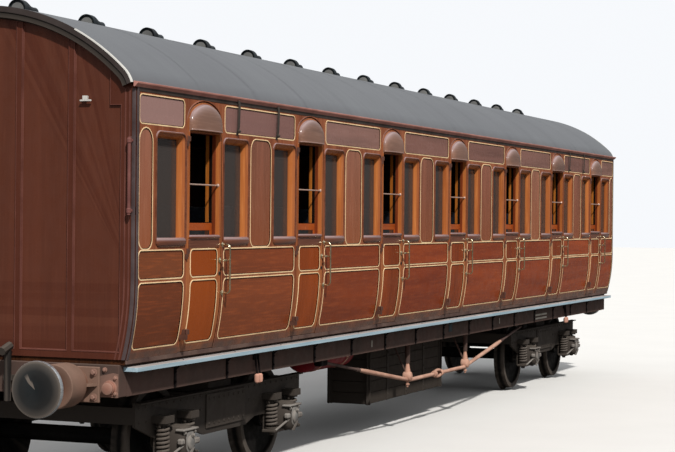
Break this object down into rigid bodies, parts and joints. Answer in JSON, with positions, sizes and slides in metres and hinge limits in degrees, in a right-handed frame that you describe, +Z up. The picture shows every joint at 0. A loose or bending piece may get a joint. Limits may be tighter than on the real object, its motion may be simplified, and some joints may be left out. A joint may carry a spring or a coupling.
{
  "type": "bogie passenger coach",
  "caption": "Wooden side-door compartment coach on two bogies, with hinged doors, truss rods, buffers and drawhooks.",
  "frame": {"origin": "middle of the coach at the level of the wheel flanges' tips", "axes": "+X along the coach, +Y across it away from the pictured side, +Z up"},
  "size_m": [16.959, 2.885, 4.143],
  "materials": {
    "teak_side": "varnished, glossy",
    "teak_door": "varnished, glossy",
    "cornice": "satin paint",
    "roof_cloth": "matt grey paint",
    "end_panel": "satin paint",
    "inside_wood": "varnished",
    "upholstery": "plush",
    "floor_wood": "matt",
    "glass": "clear",
    "frame_brown": "satin paint",
    "oxide_steel": "satin paint",
    "buffer_steel": "worn paint",
    "board_wood": "weathered",
    "black_iron": "matt",
    "box_black": "matt paint",
    "brass": "polished",
    "rail_red": "gloss paint",
    "axlebox_grey": "rough paint",
    "wheel_steel": "dull steel"
  },
  "bodies": {
    "coach": {"battery_box": "box_black", "buffer_guides": "oxide_steel", "buffer_heads": "buffer_steel", "cantrails": "teak_side", "cross_bearers": "frame_brown", "drawhooks": "black_iron", "end_rails": "rail_red", "end_walls": "end_panel", "floor": "floor_wood", "footboard_brackets": "frame_brown", "footboards": "board_wood", "grab_handles": "brass", "gutters": "cornice", "hanger_links": "oxide_steel", "headstocks": "oxide_steel", "hinge_leaves": "black_iron", "longitudinals": "frame_brown", "luggage_racks": "inside_wood", "partitions": "inside_wood", "pivots": "black_iron", "reservoir": "oxide_steel", "roof": "roof_cloth", "roof_vents": "roof_cloth", "seat_backs": "upholstery", "seat_bases": "inside_wood", "seat_cushions": "upholstery", "side_far": "teak_side", "side_near": "teak_side", "solebars": "frame_brown", "standpipes": "black_iron", "truss_rods": "oxide_steel", "window_panes": "glass"},
    "bogie_a": {"bogie_a_axleboxes": "axlebox_grey", "bogie_a_beams": "black_iron", "bogie_a_plates": "black_iron", "bogie_a_springs": "black_iron"},
    "bogie_b": {"bogie_b_axleboxes": "axlebox_grey", "bogie_b_beams": "black_iron", "bogie_b_plates": "black_iron", "bogie_b_springs": "black_iron"},
    "door_far_1": {"door_far_1": "teak_door"},
    "door_far_2": {"door_far_2": "teak_door"},
    "door_far_3": {"door_far_3": "teak_door"},
    "door_far_4": {"door_far_4": "teak_door"},
    "door_far_5": {"door_far_5": "teak_door"},
    "door_far_6": {"door_far_6": "teak_door"},
    "door_far_7": {"door_far_7": "teak_door"},
    "door_near_1": {"door_near_1": "teak_door"},
    "door_near_2": {"door_near_2": "teak_door"},
    "door_near_3": {"door_near_3": "teak_door"},
    "door_near_4": {"door_near_4": "teak_door"},
    "door_near_5": {"door_near_5": "teak_door"},
    "door_near_6": {"door_near_6": "teak_door"},
    "door_near_7": {"door_near_7": "teak_door"},
    "wheelset_a1": {"wheelset_a1": "wheel_steel"},
    "wheelset_a2": {"wheelset_a2": "wheel_steel"},
    "wheelset_b1": {"wheelset_b1": "wheel_steel"},
    "wheelset_b2": {"wheelset_b2": "wheel_steel"}
  },
  "joints": [
    {"name": "bogie_a_swivel", "type": "hinge", "parent": "coach", "child": "bogie_a", "pos_m": [-5.39, 0, 0.908], "axis": [0, 0, 1], "range_deg": [-4, 4]},
    {"name": "wheels_a1_turn", "type": "hinge", "parent": "bogie_a", "child": "wheelset_a1", "pos_m": [-6.495, 0, 0.498], "axis": [0, 1, 0], "continuous": true},
    {"name": "wheels_a2_turn", "type": "hinge", "parent": "bogie_a", "child": "wheelset_a2", "pos_m": [-4.285, 0, 0.498], "axis": [0, 1, 0], "continuous": true},
    {"name": "bogie_b_swivel", "type": "hinge", "parent": "coach", "child": "bogie_b", "pos_m": [5.39, 0, 0.908], "axis": [0, 0, 1], "range_deg": [-4, 4]},
    {"name": "wheels_b1_turn", "type": "hinge", "parent": "bogie_b", "child": "wheelset_b1", "pos_m": [4.285, 0, 0.498], "axis": [0, 1, 0], "continuous": true},
    {"name": "wheels_b2_turn", "type": "hinge", "parent": "bogie_b", "child": "wheelset_b2", "pos_m": [6.495, 0, 0.498], "axis": [0, 1, 0], "continuous": true},
    {"name": "door_near_1_hinge", "type": "hinge", "parent": "coach", "child": "door_near_1", "pos_m": [-7.0245, -1.3855, 1.378], "axis": [0, 0, -1], "range_deg": [0, 95]},
    {"name": "door_near_2_hinge", "type": "hinge", "parent": "coach", "child": "door_near_2", "pos_m": [-4.7895, -1.3855, 1.378], "axis": [0, 0, -1], "range_deg": [0, 95]},
    {"name": "door_near_3_hinge", "type": "hinge", "parent": "coach", "child": "door_near_3", "pos_m": [-2.5545, -1.3855, 1.378], "axis": [0, 0, -1], "range_deg": [0, 95]},
    {"name": "door_near_4_hinge", "type": "hinge", "parent": "coach", "child": "door_near_4", "pos_m": [-0.3195, -1.3855, 1.378], "axis": [0, 0, -1], "range_deg": [0, 95]},
    {"name": "door_near_5_hinge", "type": "hinge", "parent": "coach", "child": "door_near_5", "pos_m": [1.9155, -1.3855, 1.378], "axis": [0, 0, -1], "range_deg": [0, 95]},
    {"name": "door_near_6_hinge", "type": "hinge", "parent": "coach", "child": "door_near_6", "pos_m": [4.1505, -1.3855, 1.378], "axis": [0, 0, -1], "range_deg": [0, 95]},
    {"name": "door_near_7_hinge", "type": "hinge", "parent": "coach", "child": "door_near_7", "pos_m": [6.3855, -1.3855, 1.378], "axis": [0, 0, -1], "range_deg": [0, 95]},
    {"name": "door_far_1_hinge", "type": "hinge", "parent": "coach", "child": "door_far_1", "pos_m": [7.0245, 1.3855, 1.378], "axis": [0, 0, -1], "range_deg": [0, 95]},
    {"name": "door_far_2_hinge", "type": "hinge", "parent": "coach", "child": "door_far_2", "pos_m": [4.7895, 1.3855, 1.378], "axis": [0, 0, -1], "range_deg": [0, 95]},
    {"name": "door_far_3_hinge", "type": "hinge", "parent": "coach", "child": "door_far_3", "pos_m": [2.5545, 1.3855, 1.378], "axis": [0, 0, -1], "range_deg": [0, 95]},
    {"name": "door_far_4_hinge", "type": "hinge", "parent": "coach", "child": "door_far_4", "pos_m": [0.3195, 1.3855, 1.378], "axis": [0, 0, -1], "range_deg": [0, 95]},
    {"name": "door_far_5_hinge", "type": "hinge", "parent": "coach", "child": "door_far_5", "pos_m": [-1.9155, 1.3855, 1.378], "axis": [0, 0, -1], "range_deg": [0, 95]},
    {"name": "door_far_6_hinge", "type": "hinge", "parent": "coach", "child": "door_far_6", "pos_m": [-4.1505, 1.3855, 1.378], "axis": [0, 0, -1], "range_deg": [0, 95]},
    {"name": "door_far_7_hinge", "type": "hinge", "parent": "coach", "child": "door_far_7", "pos_m": [-6.3855, 1.3855, 1.378], "axis": [0, 0, -1], "range_deg": [0, 95]}
  ]
}
